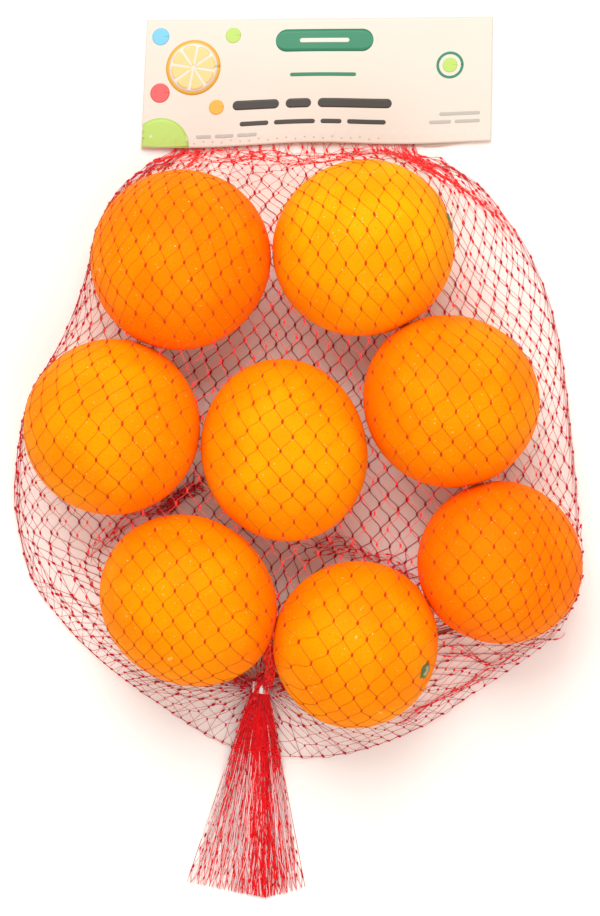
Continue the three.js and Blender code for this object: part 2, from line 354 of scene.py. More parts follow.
def star_points(number):
    """A low button whose rim has five soft lobes: reach times 1 + 0.12 cos(5 angle). Its height is a
    ring wall, by a bell across it, round a hollow, laid on the peel. Its middle point comes first."""
    out = np.linspace(0, 1, STAR_RINGS)[1:, None]
    angle = np.linspace(0, 2 * np.pi, STAR_SIDES, endpoint=False)[None]
    reach = STAR_REACH * out * (1 + 0.12 * out * np.cos(5 * angle + number))
    lift = STAR_TALL * (np.exp(-(((out - 0.66) / 0.22) ** 2)) + 0.3 * (1 - out ** 2)) + 0 * angle
    dirs = unit(about_stem(number, half_tall[number], reach, angle))
    rim = centres[number] + dirs * (orange_radius(number, dirs) + lift - STAR_SINK)[..., None]
    axis = stem_dirs[number]
    middle = centres[number] + axis * (orange_radius(number, axis) + 0.3 * STAR_TALL)
    return np.vstack([middle[None], rim.reshape(-1, 3)])


def own_tone(paint):
    """The colours that a piece's points carry, in their attribute tone."""
    made = paint.node_tree.nodes.new("ShaderNodeAttribute")
    made.attribute_name = "tone"
    return made.outputs["Color"]


def give_tones(piece, colours):
    """Gives each point of a piece its own colour (n, 3), as its attribute tone."""
    tones = piece.data.attributes.new("tone", "FLOAT_COLOR", "POINT")
    tones.data.foreach_set("color", np.hstack([colours, np.ones((len(colours), 1))]).ravel())


star_places = np.stack([star_points(number) for number in range(ORANGE_COUNT)])
turn = np.arange(STAR_SIDES)
star_cap = np.stack([np.zeros(STAR_SIDES, int), 1 + turn, 1 + (turn + 1) % STAR_SIDES], -1)
star_body = grid_faces(STAR_RINGS - 1, STAR_SIDES, 1, wrap=True)[:, ::-1]
star_faces = []
for first in np.arange(ORANGE_COUNT) * star_places.shape[1]:
    star_faces += (star_cap + first).tolist() + (star_body + first).tolist()
stem_paint = painted("stem_green", (0.19, 0.20, 0.05), 0.7)
coat(stem_paint, blend(stem_paint, 0.7, own_tone(stem_paint), noise(stem_paint, 900, 2), "MULTIPLY"))
stems = mesh_piece("stem_ends", star_places, star_faces, stem_paint)
ring_out = np.linspace(0, 1, STAR_RINGS)[1:].repeat(STAR_SIDES)[:, None]
pale_ring = np.exp(-(((ring_out - 0.42) / 0.14) ** 2))
star_tones = np.vstack([SCAR_TONE, SEPAL_TONE * (1 - pale_ring) + RING_TONE * pale_ring])
give_tones(stems, np.tile(star_tones, (ORANGE_COUNT, 1)))
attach(stems, "root")
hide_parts("net")

# ---------------------------------------------------------------- mesh bag
# A tube of red plastic thread knotted in diamonds, open in the header and gathered at a clip.
# Its lower layer lies flat on the table under the fruit, and its upper layer is drawn tight over it:
# on the oranges it follows the peel, and between them and out to the edge it hangs like a tent.
LEFT_EDGE = np.array([
    (-55, 137.5), (-72, 128), (-84.5, 115), (-91, 99), (-95, 84), (-106, 54.5), (-122, 23.5), (-128, -8),
    (-127.5, -34),
]) * MM
LOW_EDGE = np.array([
    (-127.5, -34), (-118, -59.5), (-91, -90.5), (-54, -117.5), (-33, -129.5), (-14, -134.8),
    (18, -134.2), (50, -124), (77, -107.5), (112, -83), (124.5, -63), (127.2, -42),
]) * MM
RIGHT_EDGE = np.array([
    (51, 137.6), (64, 133.5), (87, 118), (108, 81.5), (117.5, 48), (123, 3), (127.2, -42),
]) * MM
GATHER = np.array([-17.5, -104.0, 8.0]) * MM
# Knots: columns across a layer, rows down it, and of these the rows down to its widest place
COLUMNS = 64
ROWS = 58
HEAD_ROWS = 35
HIDDEN_END = np.array([0.0, 7.5, 0.0]) * MM
THREAD = 0.12 * MM
THROAT = 2.2 * MM
ROPE_TOP = np.array([-14.0, -66.0]) * MM
# Least heights of the lower layer, of the part folded under the bag, and of the upper layer
LOWER_LAYER = 0.50 * MM
FOLDED_LAYER = 0.60 * MM
UPPER_LAYER = 1.05 * MM
# The grid on the ground that the tent stands on: its cells, and its reach in x and in y
CELL = 2.0 * MM
GROUND_X = (-0.132, 0.1321)
GROUND_Y = (-0.140, 0.1421)
TENT_SAG = 0.012 * MM
TENT_START = 30 * MM
TENT_HELD = 4 * MM
TENT_LOOPS = 2600


def run_along(path):
    """The length of a path up to each of its points."""
    return np.concatenate([[0], np.cumsum(np.linalg.norm(np.diff(path, axis=0), axis=1))])


def along(path, share):
    """Places on a path at shares of its length."""
    length = run_along(path)
    return np.column_stack([np.interp(share * length[-1], length, part) for part in path.T])


def curve_through(points, count):
    """A Catmull-Rom curve through the points, as count places evenly along it: between two points a
    cubic whose slope at each of them is half the line from the point before to the one after."""
    before, after = 2 * points[0] - points[1], 2 * points[-1] - points[-2]
    p = np.vstack([before, points, after])
    t = np.linspace(0, len(points) - 1, count * 4)
    i = np.minimum(t.astype(int), len(points) - 2)
    f = (t - i)[:, None]
    a, b, c, d = p[i], p[i + 1], p[i + 2], p[i + 3]
    square, cube = 2 * a - 5 * b + 4 * c - d, 3 * b - a - 3 * c + d
    path = 0.5 * (2 * b + (c - a) * f + square * f ** 2 + cube * f ** 3)
    return along(path, np.linspace(0, 1, count))


left_edge, low_edge, right_edge = (curve_through(p, 400) for p in (LEFT_EDGE, LOW_EDGE, RIGHT_EDGE))
outline = np.vstack([left_edge, low_edge[1:], right_edge[::-1][1:]])
cell_x = np.arange(*GROUND_X, CELL)
cell_y = np.arange(*GROUND_Y, CELL)
ground_x, ground_y = np.meshgrid(cell_x, cell_y, indexing="ij")


def inside_outline(x, y):
    """Whether places lie within the closed outline: an odd number of its sides cross the ray to +X."""
    (x0, y0), (x1, y1) = outline[::8].T, np.roll(outline[::8], -1, axis=0).T
    crosses = (y1[:, None, None] > y) != (y0[:, None, None] > y)
    rise = np.where(y1 == y0, 1e-12, y1 - y0)[:, None, None]
    at = x0[:, None, None] + (x1 - x0)[:, None, None] * (y - y0[:, None, None]) / rise
    return (crosses & (x < at)).sum(0) % 2 == 1


def off_gather(x, y):
    """Distance of places from the gather in plan."""
    return np.hypot(x - GATHER[0], y - GATHER[1])


def peel_height(x, y, lift):
    """Height of the oranges' tops above places, lifted, and 0 beside them: the sphere's height,
    refined a few times with the uneven radius in the direction found."""
    height = np.zeros(x.shape)
    for number in range(ORANGE_COUNT):
        dx, dy = x - centres[number, 0], y - centres[number, 1]
        dz = np.full(x.shape, half_tall[number])
        for _ in range(6):
            reach = orange_radius(number, unit(np.stack([dx, dy, dz], -1))) + lift
            dz = np.sqrt(np.clip(reach ** 2 - dx ** 2 - dy ** 2, 0, None))
        height = np.maximum(height, np.where(dz > 0, centres[number, 2] + dz, 0))
    return height


def tent_height():
    """Height of the upper layer over the ground grid: each cell is the mean of its four neighbours,
    less a small sag, but never below the fruit, and it is held at the outline and at the gather."""
    free = inside_outline(ground_x, ground_y)
    fruit = np.where(free, peel_height(ground_x, ground_y, THREAD), 0)
    height = np.where(free, np.maximum(fruit, TENT_START), UPPER_LAYER)
    held = off_gather(ground_x, ground_y) < TENT_HELD
    floor = np.maximum(fruit, UPPER_LAYER)[1:-1, 1:-1]
    for _ in range(TENT_LOOPS):
        mean = (height[:-2, 1:-1] + height[2:, 1:-1] + height[1:-1, :-2] + height[1:-1, 2:]) / 4
        drawn = np.maximum(mean - TENT_SAG, floor)
        height[1:-1, 1:-1] = np.where(free[1:-1, 1:-1], drawn, UPPER_LAYER)
        height[held] = GATHER[2]
    return height


def height_at(x, y):
    """The tent's height at places, by straight lines between the ground grid's cells."""
    i = np.clip((x - cell_x[0]) / CELL, 0, len(cell_x) - 1.001)
    j = np.clip((y - cell_y[0]) / CELL, 0, len(cell_y) - 1.001)
    a, b = i.astype(int), j.astype(int)
    f, g = i - a, j - b
    return (tent[a, b] * (1 - f) * (1 - g) + tent[a + 1, b] * f * (1 - g)
            + tent[a, b + 1] * (1 - f) * g + tent[a + 1, b + 1] * f * g)


tent = tent_height()

# Stations down a column: to the widest place, on to the fold, and back to the gather
UPPER_STATIONS = 150
LOWER_STATIONS = 90
UNDER_STATIONS = 60
NECK_BUNCH = 0.85
NECK_WAY = 0.45
EVEN_SHARE = 0.75
EVEN_WAY = 0.25
HELD_STATION = 112
SMOOTHED = 25
EDGE_COLUMNS = 1.5
RIM_SHARE = 0.10
FOLD_DRAW = 0.06
FOLD_LEAN = 0.05
NOTCH = 7 * MM
LOWER_SINK = 4.5
# Rows before the fold over which a column's knots are fitted to it
FITTED = 3.2
GATHER_BELL = 11 * MM
# Heights of the two layers' cut ends in the header
UPPER_END = 1.6 * MM
LOWER_END = 1.3 * MM


def smooth_step(value, low, high):
    """0 up to low and 1 from high on, with 3 t^2 - 2 t^3 between them."""
    t = np.clip((value - low) / (high - low), 0, 1)
    return t ** 2 * (3 - 2 * t)


def body_lines(share):
    """Straight lines from the left to the right edge, from the neck to the widest place. At the neck
    the columns crowd towards the corners by a sine, which fades out over the first part of the way."""
    way = np.linspace(0, 1, UPPER_STATIONS)
    left, right = along(left_edge, way), along(right_edge, way)
    crowded = share - NECK_BUNCH * np.sin(2 * np.pi * share) / (2 * np.pi)
    place = crowded + (share - crowded) * smooth_step(way, 0, NECK_WAY)[:, None]
    return left[:, None] + (right - left)[:, None] * place[..., None]


def fold_places(share):
    """Where columns are folded under: along the lower edge at their own share, drawn to the middle by
    a cosine and to the left by a sine. Those in line with the gather end there, by a bell across it."""
    drawn = share + FOLD_DRAW * np.cos(np.pi * share) - FOLD_LEAN * np.sin(np.pi * share)
    place = along(low_edge, drawn)
    notch = np.exp(-(((place[:, 0] - GATHER[0]) / NOTCH) ** 2))[:, None]
    return place + (GATHER[:2] - place) * notch


def low_lines(widest, share):
    """From the widest place each column runs down over the fruit to its fold: y at an even rate and x
    by a power of the way. The outermost keep to the edge."""
    way = np.linspace(0, 1, LOWER_STATIONS)[1:, None]
    fold = fold_places(share)
    x = widest[:, 0] + (fold[:, 0] - widest[:, 0]) * way ** 1.5
    y = widest[:, 1] + (fold[:, 1] - widest[:, 1]) * way
    lines = np.stack([x, y], -1)
    for side, first, last in ((0, 0.0, FOLD_DRAW), (-1, 1.0, 1 - FOLD_DRAW)):
        rim = along(low_edge, first + (last - first) * way[:, 0])
        near = np.clip(1 - np.abs(share - share[side]) / RIM_SHARE, 0, 1)[:, None]
        lines = lines + (rim - lines[:, side])[:, None] * (near ** 1.5)
    return lines


def edged(count, width):
    """Column places from 0 to 1, closer together at both edges: a hyperbola, width columns wide."""
    number = np.arange(count + 1)
    rise = np.sqrt(np.minimum(number, count - number) ** 2 + width ** 2) - width
    rise = rise / (2 * rise.max())
    return np.where(number < count / 2, rise, 1 - rise)


def spread_over(lines, share, columns):
    """Where the columns run on the first lines: evenly by length over the tent, mixed with evenly by
    share, which alone counts at the neck. Smoothed down the bag, and held past the middle orange."""
    surface = np.dstack([lines, height_at(lines[..., 0], lines[..., 1])])
    length = np.array([run_along(row) for row in surface])
    mixed = length / length[:, -1:] * EVEN_SHARE + share * (1 - EVEN_SHARE)
    even = np.array([np.interp(columns, row, share) for row in mixed])
    fade = np.clip(np.arange(len(lines)) / (EVEN_WAY * UPPER_STATIONS), 0, 1)[:, None]
    even = columns + (even[np.minimum(np.arange(len(lines)), HELD_STATION)] - columns) * fade
    weight = np.exp(-np.linspace(-2, 2, SMOOTHED) ** 2)
    weight /= weight.sum()
    padded = np.pad(even, ((SMOOTHED // 2, SMOOTHED // 2), (0, 0)), "edge")
    return sum(weight[k] * padded[k:k + len(lines)] for k in range(SMOOTHED))


columns = edged(COLUMNS, EDGE_COLUMNS)
# Rows by which a column's knots lie lower, for the upper and the lower layer: they sink to the right
upper_sunk = 2.0 * smooth_step(columns, 0.15, 0.65) - 0.7 * smooth_step(columns, 0.68, 1.0)
lower_sunk = LOWER_SINK * smooth_step(columns, 0.36, 0.86)


def knots_on(paths, widest, turn, sunk):
    """Knots (rows + 1, columns, 3): HEAD_ROWS rows at even lengths down to station widest of each
    column, as long ones on to station turn, where the last few are fitted so that each column has a
    knot, and the others evenly to its end. The sunk rows fade in by a sine. The second value says
    which knots lie before station turn."""
    rows = np.arange(ROWS + 1.0)
    fade = np.sin(np.pi * rows / ROWS) ** 0.6
    knots, before = [], []
    for k, path in enumerate(paths.transpose(1, 0, 2)):
        length = run_along(path)
        to_turn = length[turn] - length[widest]
        reached = min(HEAD_ROWS + to_turn / (length[widest] / HEAD_ROWS), ROWS - 4)
        own = int(2 * round((reached - sunk[k] * fade[int(reached)] - k) / 2) + k)
        near = length[widest] + to_turn * (1 - FITTED / max(reached - HEAD_ROWS, 4))
        at_rows = [0, HEAD_ROWS, reached - FITTED, own + sunk[k] * fade[own], ROWS]
        at_lengths = [0, length[widest], near, length[turn], length[-1]]
        at = np.interp(rows + sunk[k] * fade, at_rows, at_lengths)
        knots.append(np.column_stack([np.interp(at, length, part) for part in path.T]))
        before.append(at <= length[turn] + 1e-6)
    return np.stack(knots, 1), np.stack(before, 1)


def gathered(points):
    """How far the net on the table has risen to the gather: a bell over the distance to it."""
    return np.exp(-((off_gather(points[..., 0], points[..., 1]) / GATHER_BELL) ** 2))


def tucked_in(paths, high):
    """Paths with one more point before the first: HIDDEN_END farther into the header, at a height."""
    hidden = paths[:1] + HIDDEN_END
    hidden[..., 2] = high
    return np.vstack([hidden, paths])


share = np.linspace(0, 1, 261)
body = body_lines(share)
even = spread_over(body, share, columns)
way_down = np.linspace(0, 1, LOWER_STATIONS)[1:, None] ** 2
even = np.vstack([even, even[-1] + (columns - even[-1]) * way_down])
lines = np.vstack([body, low_lines(body[-1], share)])
over_plan = np.stack([
    [np.interp(row, share, part) for part in line.T] for row, line in zip(even, lines)
]).transpose(0, 2, 1)
over_high = np.maximum(height_at(over_plan[..., 0], over_plan[..., 1]), UPPER_LAYER)
over_paths = np.dstack([over_plan, over_high])

# Past the fold each column runs back to the gather under the bag, and all end in an oval in the clip
round_clip = np.pi * columns
oval = np.column_stack([-np.cos(round_clip), np.zeros(COLUMNS + 1), np.sin(round_clip) * 0.7]) * THROAT
way_back = np.linspace(0, 1, UNDER_STATIONS)[1:, None, None]
under_paths = over_paths[-1] + (GATHER + oval - over_paths[-1]) * way_back
under_paths[..., 2] = FOLDED_LAYER + (GATHER[2] + oval[:, 2] - FOLDED_LAYER) * gathered(under_paths)
upper_paths = tucked_in(np.vstack([over_paths, under_paths]), UPPER_END)
upper_knots, on_top = knots_on(upper_paths, len(body), len(over_paths), upper_sunk)

# The lower layer runs flat under the fruit, and narrows to a rope between the two lowest oranges
flat_body = body_lines(columns)
flat_left, flat_right = flat_body[-1, [0, -1], 0]
clip_share = (GATHER[0] - flat_left) / (flat_right - flat_left)
left_turn, right_turn = fold_places(np.array([0.0, 1.0]))
to_left = np.clip(1 - columns / clip_share, 0, 1)[:, None] ** 1.4
to_right = np.clip((columns - clip_share) / (1 - clip_share), 0, 1)[:, None] ** 1.4
turn_at = ROPE_TOP + (left_turn - ROPE_TOP) * to_left + (right_turn - ROPE_TOP) * to_right
bend = np.linspace(0, 1, LOWER_STATIONS)[1:, None, None]
narrowing = flat_body[-1] * (1 - bend) ** 2 + turn_at * 2 * bend * (1 - bend) + GATHER[:2] * bend ** 2
lower_plan = np.vstack([flat_body, narrowing])
lower_high = LOWER_LAYER + (GATHER[2] - LOWER_LAYER) * gathered(lower_plan)
lower_paths = tucked_in(np.dstack([lower_plan, lower_high]), LOWER_END)
lower_knots, _ = knots_on(lower_paths, len(flat_body), len(lower_plan) - 4, lower_sunk)

# Where the net is bunched: at the shoulders under the header, in two creases between the fruit,
# and where both layers rise to the gather. Points of a line in mm, reach in mm, share drawn in
SHOULDER = ([(39, 139), (45, 135), (52, 131.5), (63, 125), (74, 118.5), (86, 110), (93, 102)], 7, 0.8)
LEFT_SHOULDER = ([(-46, 139), (-46, 134.5), (-48, 130), (-52, 126.5)], 6, 0.5)
LEFT_CREASE = (
    [(-96, -50), (-91, -42), (-84, -34), (-75, -28), (-66, -25), (-57, -19), (-46, -13)], 10, 0.6,
)
RIGHT_CREASE = (
    [(-4, -40), (8, -41.5), (20, -41), (32, -45), (43, -50.5), (50, -58), (54, -66)], 9, 0.6,
)
ROPE = ([(-14, -70), (-13, -82), (-14, -93), (-17.5, -104)], 13, 0.75)
CREASE_STATIONS = 90
# In the header the net lies flat, and before it the net may rise by a parabola
IN_HEADER = 1.5 * MM
HEADER_STARTS = 137.5 * MM
SLOPE_LONG = 6 * MM
SLOPE_HIGH = 90 * MM
# The lower layer's lift in the header, and where it starts and how long it takes
LOWER_LIFT = 0.9 * MM
LIFT_STARTS = 136 * MM
LIFT_LONG = 4 * MM
# The crumpled part of the neck in y: where it begins and where it ends, and the shift
CRUMPLES_FROM = (116 * MM, 130 * MM)
CRUMPLES_TO = (137 * MM, 140 * MM)
CRUMPLE = 1.15 * MM
GATHERED_REACH = 6 * MM


def bunched(points, crease):
    """Points drawn towards a crease line in plan, by its share times a bell over the distance to it,
    which also fades out towards the line's ends."""
    line, reach, share_in = crease
    line = curve_through(np.array(line) * MM, CREASE_STATIONS)
    gap = np.linalg.norm(points[..., None, :2] - line, axis=-1)
    nearest = gap.argmin(-1)
    ends = np.sin(np.pi * (nearest + 1) / (CREASE_STATIONS + 1)) ** 0.25
    pull = share_in * ends * np.exp(-((gap.min(-1) / (reach * MM)) ** 2))
    moved = points.copy()
    moved[..., :2] += (line[nearest] - points[..., :2]) * pull[..., None]
    return moved


def into_label(points):
    """The points, cut down in place to the height in the header, and less and less before it."""
    before = np.clip((HEADER_STARTS - points[..., 1]) / SLOPE_LONG, 0, 1)
    points[..., 2] = np.minimum(points[..., 2], IN_HEADER + SLOPE_HIGH * before ** 2)
    return points


def crumpled(knots, seed):
    """Knots shifted at random by about a millimetre where the neck is crowded under the header."""
    at_neck = smooth_step(knots[..., 1:2], *CRUMPLES_FROM)
    at_neck = at_neck * (1 - smooth_step(knots[..., 1:2], *CRUMPLES_TO))
    aside = np.random.default_rng(seed).normal(size=knots.shape[:2] + (2,)) * CRUMPLE
    knots = knots.copy()
    knots[:, 1:-1, :2] += (at_neck * aside)[:, 1:-1]
    return knots


upper_knots, lower_knots = crumpled(upper_knots, 55), crumpled(lower_knots, 56)
for crease in (SHOULDER, LEFT_SHOULDER, ROPE):
    upper_knots = np.where(on_top[..., None], bunched(upper_knots, crease), upper_knots)
laid = np.maximum(height_at(upper_knots[..., 0], upper_knots[..., 1]), UPPER_LAYER)
at_gather = off_gather(upper_knots[..., 0], upper_knots[..., 1]) < GATHERED_REACH
upper_knots[..., 2] = np.where(on_top & ~at_gather, laid, upper_knots[..., 2])
upper_knots = into_label(upper_knots)
for crease in (SHOULDER, LEFT_SHOULDER, LEFT_CREASE, RIGHT_CREASE, ROPE):
    lower_knots = bunched(lower_knots, crease)
in_label = np.clip((lower_knots[..., 1] - LIFT_STARTS) / LIFT_LONG, 0, 1) * LOWER_LIFT
lower_knots[..., 2] = LOWER_LAYER + (GATHER[2] - LOWER_LAYER) * gathered(lower_knots) + in_label
lower_knots[:, [0, -1]] = upper_knots[:, [0, -1]]

TUBE_SIDES = 4
BEAD_RINGS = 5
BEAD_SIDES = 6
KNOT_LENGTH = 0.95 * MM
KNOT_WIDTH = 0.54 * MM
# How far a tight and a slack strand bend out of their straight line, as a share of their length
TAUT = 0.12
SLACK = 0.62
# Least heights of a strand's middle line and of a knot
STRAND_FLOOR = 0.2 * MM
KNOT_FLOOR = 0.02 * MM
# Colours of one red plastic, painted for light and shade: on the peel, a dark orange-brown that paints
# the peel seen through the thread and the thread's shade on it; flat on the table, darker as painted
# shade; and hanging in the light, bright as painted light
LIT_AND_SHADED_THREAD_TONES = np.array([(0.44, 0.115, 0.006), (0.56, 0.045, 0.060), (1.0, 0.075, 0.075)])
LIT_AND_SHADED_KNOT_TONES = np.array([(0.60, 0.040, 0.006), (0.56, 0.008, 0.025), (1.0, 0.040, 0.035)])
TAIL_TONE = np.array([(1.0, 0.012, 0.018)] * 3)
# The flat tone alone: the red plastic darkened as painted shade
SHADED_CRIMSON = LIT_AND_SHADED_THREAD_TONES[[1, 1, 1]]
# Where the tones change: off the peel, past the fruit's outline, in height from the painted shade to
# the painted light, and in y by the header
OFF_PEEL = (3 * MM, 8 * MM)
PAST_FRUIT = (-2.5 * MM, 1 * MM)
PAINTED_LIGHT_HEIGHTS = (24 * MM, 44 * MM)
BY_HEADER = (126 * MM, 137 * MM)
SHOULDERS_FROM = 95 * MM
SHOULDER_REACH = 4.5 * MM
# Points that share one drift of their tone
DRIFT_POINTS = 8
# Heights of the tent over which its strands grow stout, in the gaps between the fruit
IN_GAP = (28 * MM, 50 * MM)
# By how much a slack strand is thinner on the peel, and the height from which it keeps off it
SLACK_THINNER = 0.28
ON_FRUIT = 4 * MM
PEEL_GAP = THREAD * 0.9
BUNCH_STATIONS = 70


def strand_ends(knots):
    """Every strand of a layer as two index pairs: a knot at row + column even joins the two below."""
    rows, count = knots.shape[:2]
    row, column = np.meshgrid(np.arange(rows - 1), np.arange(count), indexing="ij")
    real = (row + column) % 2 == 0
    found = []
    for side in (-1, 1):
        keep = real & (column + side >= 0) & (column + side < count)
        above, beside = row[keep], column[keep]
        found.append((above, beside, above + 1, beside + side, np.full(keep.sum(), side)))
    return [np.concatenate(part) for part in zip(*found)]


def knot_lean(knots):
    """The lengthwise direction at each knot: the two knots below less the two above."""
    padded = np.pad(knots, ((1, 1), (1, 1), (0, 0)), "edge")
    return unit(padded[2:, :-2] + padded[2:, 2:] - padded[:-2, :-2] - padded[:-2, 2:])


def over_the_peel(points):
    """How far points are from the nearest orange's peel, less than 0 inside it."""
    nearest = np.full(points.shape[:-1], 1.0)
    for number in range(ORANGE_COUNT):
        away = points - centres[number]
        over = np.linalg.norm(away, axis=-1) - orange_radius(number, unit(away))
        nearest = np.minimum(nearest, over)
    return nearest


def off_the_fruit(points, gap):
    """Points pushed straight out of any orange that they are in, to gap above its peel."""
    for number in range(ORANGE_COUNT):
        away = points - centres[number]
        direction = unit(away)
        reach = (orange_radius(number, direction) + gap)[..., None]
        inside = np.linalg.norm(away, axis=-1, keepdims=True) < reach
        points = np.where(inside, centres[number] + direction * reach, points)
    return points


def hermite(starts, ends, start_lean, end_lean, steps=6):
    """Curves (n, steps + 1, 3) from starts to ends that set out along and arrive along the leans."""
    t = np.linspace(0, 1, steps + 1)[None, :, None]
    h0, h1 = 2 * t ** 3 - 3 * t ** 2 + 1, t ** 3 - 2 * t ** 2 + t
    h2, h3 = -2 * t ** 3 + 3 * t ** 2, t ** 3 - t ** 2
    return h0 * starts[:, None] + h1 * start_lean[:, None] + h2 * ends[:, None] + h3 * end_lean[:, None]


def tubes_round(line, width):
    """Tubes round lines (n, m, 3). Points (n, m, TUBE_SIDES, 3): the line, plus the tube's radius times
    cos and sin of the corner's angle along two directions across the line."""
    ahead = unit(np.gradient(line, axis=1))
    across = unit(np.cross(ahead, [0.0, 0.0, 1.0]))[:, :, None]
    over = np.cross(across, ahead[:, :, None])
    corner = np.arange(TUBE_SIDES)[:, None] * 2 * np.pi / TUBE_SIDES
    offset = across * np.cos(corner) + over * np.sin(corner)
    return line[:, :, None] + offset * width[:, None, None, None]


def tube_faces(count, steps, sides):
    """Quads of count tubes of steps + 1 rings, with quads across both ends."""
    one = grid_faces(steps + 1, sides, wrap=True)
    fan = np.stack([[0, corner, corner + 1, corner + 2] for corner in range(1, sides - 1, 2)])
    one = np.concatenate([one, fan, (fan + steps * sides)[:, ::-1]])
    return (one[None] + np.arange(count)[:, None, None] * (steps + 1) * sides).reshape(-1, 4)


def knot_beads(places, leans, length, width):
    """Small beads with their long axis on the lean: rings of radius width sin(a) at length -cos(a)."""
    across = unit(np.cross(leans, [0.0, 0.0, 1.0]))
    over = np.cross(across, leans)
    angle = np.linspace(0, np.pi, BEAD_RINGS)
    corner = np.arange(BEAD_SIDES) * 2 * np.pi / BEAD_SIDES
    bulge = np.maximum(np.sin(angle), 0.25)
    ring = (across[:, None, None] * np.cos(corner)[None, None, :, None]
            + over[:, None, None] * np.sin(corner)[None, None, :, None] * 0.8)
    shift = leans[:, None, None] * (-np.cos(angle))[None, :, None, None]
    long, wide = length[:, None, None, None], width[:, None, None, None]
    return places[:, None, None] + shift * long + ring * bulge[None, :, None, None] * wide


def mesh_plastic(name, clear):
    """Thin, slightly clear plastic whose colour is the piece's own attribute."""
    paint = painted(name, (1.0, 1.0, 1.0), 0.45, Alpha=clear, Specular_IOR_Level=0.12)
    coat(paint, own_tone(paint))
    return paint


thread_paint = mesh_plastic("red_thread", 0.85)
knot_paint = mesh_plastic("red_knot", 1.0)
shoulder_line = np.vstack([
    curve_through(np.array(crease[0]) * MM, 40) for crease in (SHOULDER, LEFT_SHOULDER)
])


def toned(piece, points, tones, seed):
    """Gives each point of a piece its colour: the tone for the peel changes off the peel, and past the
    fruit's outline, to one between the flat tone, darker as painted shade low down, and the hanging one,
    bright as painted light high up, which also counts in the bunches at the shoulders and by the header.
    It drifts a little."""
    points = points.reshape(-1, 3)
    beside = np.linalg.norm(points[:, None, :2] - centres[:, :2], axis=-1) - (half_long + half_wide) / 2
    free = smooth_step(over_the_peel(points), *OFF_PEEL) * smooth_step(beside.min(1), *PAST_FRUIT)
    free = free[:, None]
    # Share of the flat tone, the painted shade: it fades with height, and near the shoulder bunches and
    # the header, where the hanging tone's painted light takes over
    painted_shade_share = 1 - smooth_step(points[:, 2:], *PAINTED_LIGHT_HEIGHTS)
    high_up = points[:, 1] > SHOULDERS_FROM
    apart = np.linalg.norm(points[high_up, None, :2] - shoulder_line, axis=-1).min(1)
    painted_shade_share[high_up, 0] *= 1 - np.exp(-((apart / SHOULDER_REACH) ** 2))
    painted_shade_share *= 1 - 0.8 * smooth_step(points[:, 1:2], *BY_HEADER)
    tone = tones[0] * (1 - free) + (tones[1] * painted_shade_share + tones[2] * (1 - painted_shade_share)) * free
    drift = np.random.default_rng(seed).uniform(0.82, 1.12, (len(points) // DRIFT_POINTS + 1, 1))
    give_tones(piece, np.clip(tone * drift.repeat(DRIFT_POINTS, 0)[:len(points)], 0, 1))
    return piece


def threads(name, lines, width, tones, seed):
    """A piece of toned threads of radius width (n) round lines (n, m, 3)."""
    tubes = tubes_round(lines, width)
    faces = tube_faces(len(lines), lines.shape[1] - 1, TUBE_SIDES)
    return toned(mesh_piece(name, tubes, faces, thread_paint), tubes, tones, seed)


def tied_knots(name, places, leans, length, width, tones, seed):
    """A piece of toned knots at places (n, 3), which stay above the table."""
    beads = knot_beads(places, leans, length, width)
    beads[..., 2] = np.maximum(beads[..., 2], KNOT_FLOOR)
    faces = tube_faces(len(places), BEAD_RINGS - 1, BEAD_SIDES)
    return toned(mesh_piece(name, beads, faces, knot_paint), beads, tones, seed)


def layer_pieces(name, knots, fruit, seed, thread_tones=LIT_AND_SHADED_THREAD_TONES, knot_tones=LIT_AND_SHADED_KNOT_TONES,
                 thick=1.0, taut=1, stout=0.3, slim=1.0):
    """One layer of the bag: its strands and its knots, as two pieces. The strands that lead to the
    right (taut 1) or left (-1) are drawn tight, and the others slack. They are thick times as thick as
    THREAD, more by stout in the gaps between the fruit, and the slack ones less on it. The knots are
    slim times as wide as KNOT_WIDTH. The last row is cut, without knots."""
    lean = knot_lean(knots)
    row, column, row_to, column_to, side = strand_ends(knots)
    start, end = knots[row, column], knots[row_to, column_to]
    lean_start, lean_end = lean[row, column], lean[row_to, column_to]
    span = np.linalg.norm(end - start, axis=1, keepdims=True)
    tied_in = np.minimum(KNOT_LENGTH * 0.5, span * 0.2)
    start, end = start + lean_start * tied_in, end - lean_end * tied_in
    chord = end - start
    rng = np.random.default_rng(seed)
    bend = np.where(side == taut, TAUT, SLACK)[:, None] * rng.uniform(0.6, 1.3, (len(side), 1))
    pull_start = chord * (1 - bend) + lean_start * span * bend
    pull_end = chord * (1 - bend) + lean_end * span * bend
    line = hermite(start, end, pull_start, pull_end)
    if fruit:
        line = np.where(line[..., 2:] > ON_FRUIT, off_the_fruit(line, PEEL_GAP), line)
        line = into_label(line)
    line[..., 2] = np.maximum(line[..., 2], STRAND_FLOOR)
    middle = (start + end) / 2
    in_gap = smooth_step(height_at(middle[:, 0], middle[:, 1]), *IN_GAP)
    off_peel = np.clip(over_the_peel(middle) / OFF_PEEL[1], 0, 1)
    own = rng.uniform(0.68, 0.9, len(side)) * (1 + stout * off_peel * in_gap)
    own *= 1 - SLACK_THINNER * (side != taut) * (1 - off_peel)
    strands = threads(f"{name}_strands", line, THREAD * thick * own, thread_tones, seed)
    rows, count = knots.shape[:2]
    real = (np.arange(rows)[:, None] + np.arange(count)) % 2 == 0
    real[-1] = False
    length = KNOT_LENGTH * rng.uniform(0.85, 1.2, real.sum())
    width = KNOT_WIDTH * slim * rng.uniform(0.85, 1.15, real.sum())
    tied = tied_knots(f"{name}_knots", knots[real], lean[real], length, width, knot_tones, seed)
    return [strands, tied]


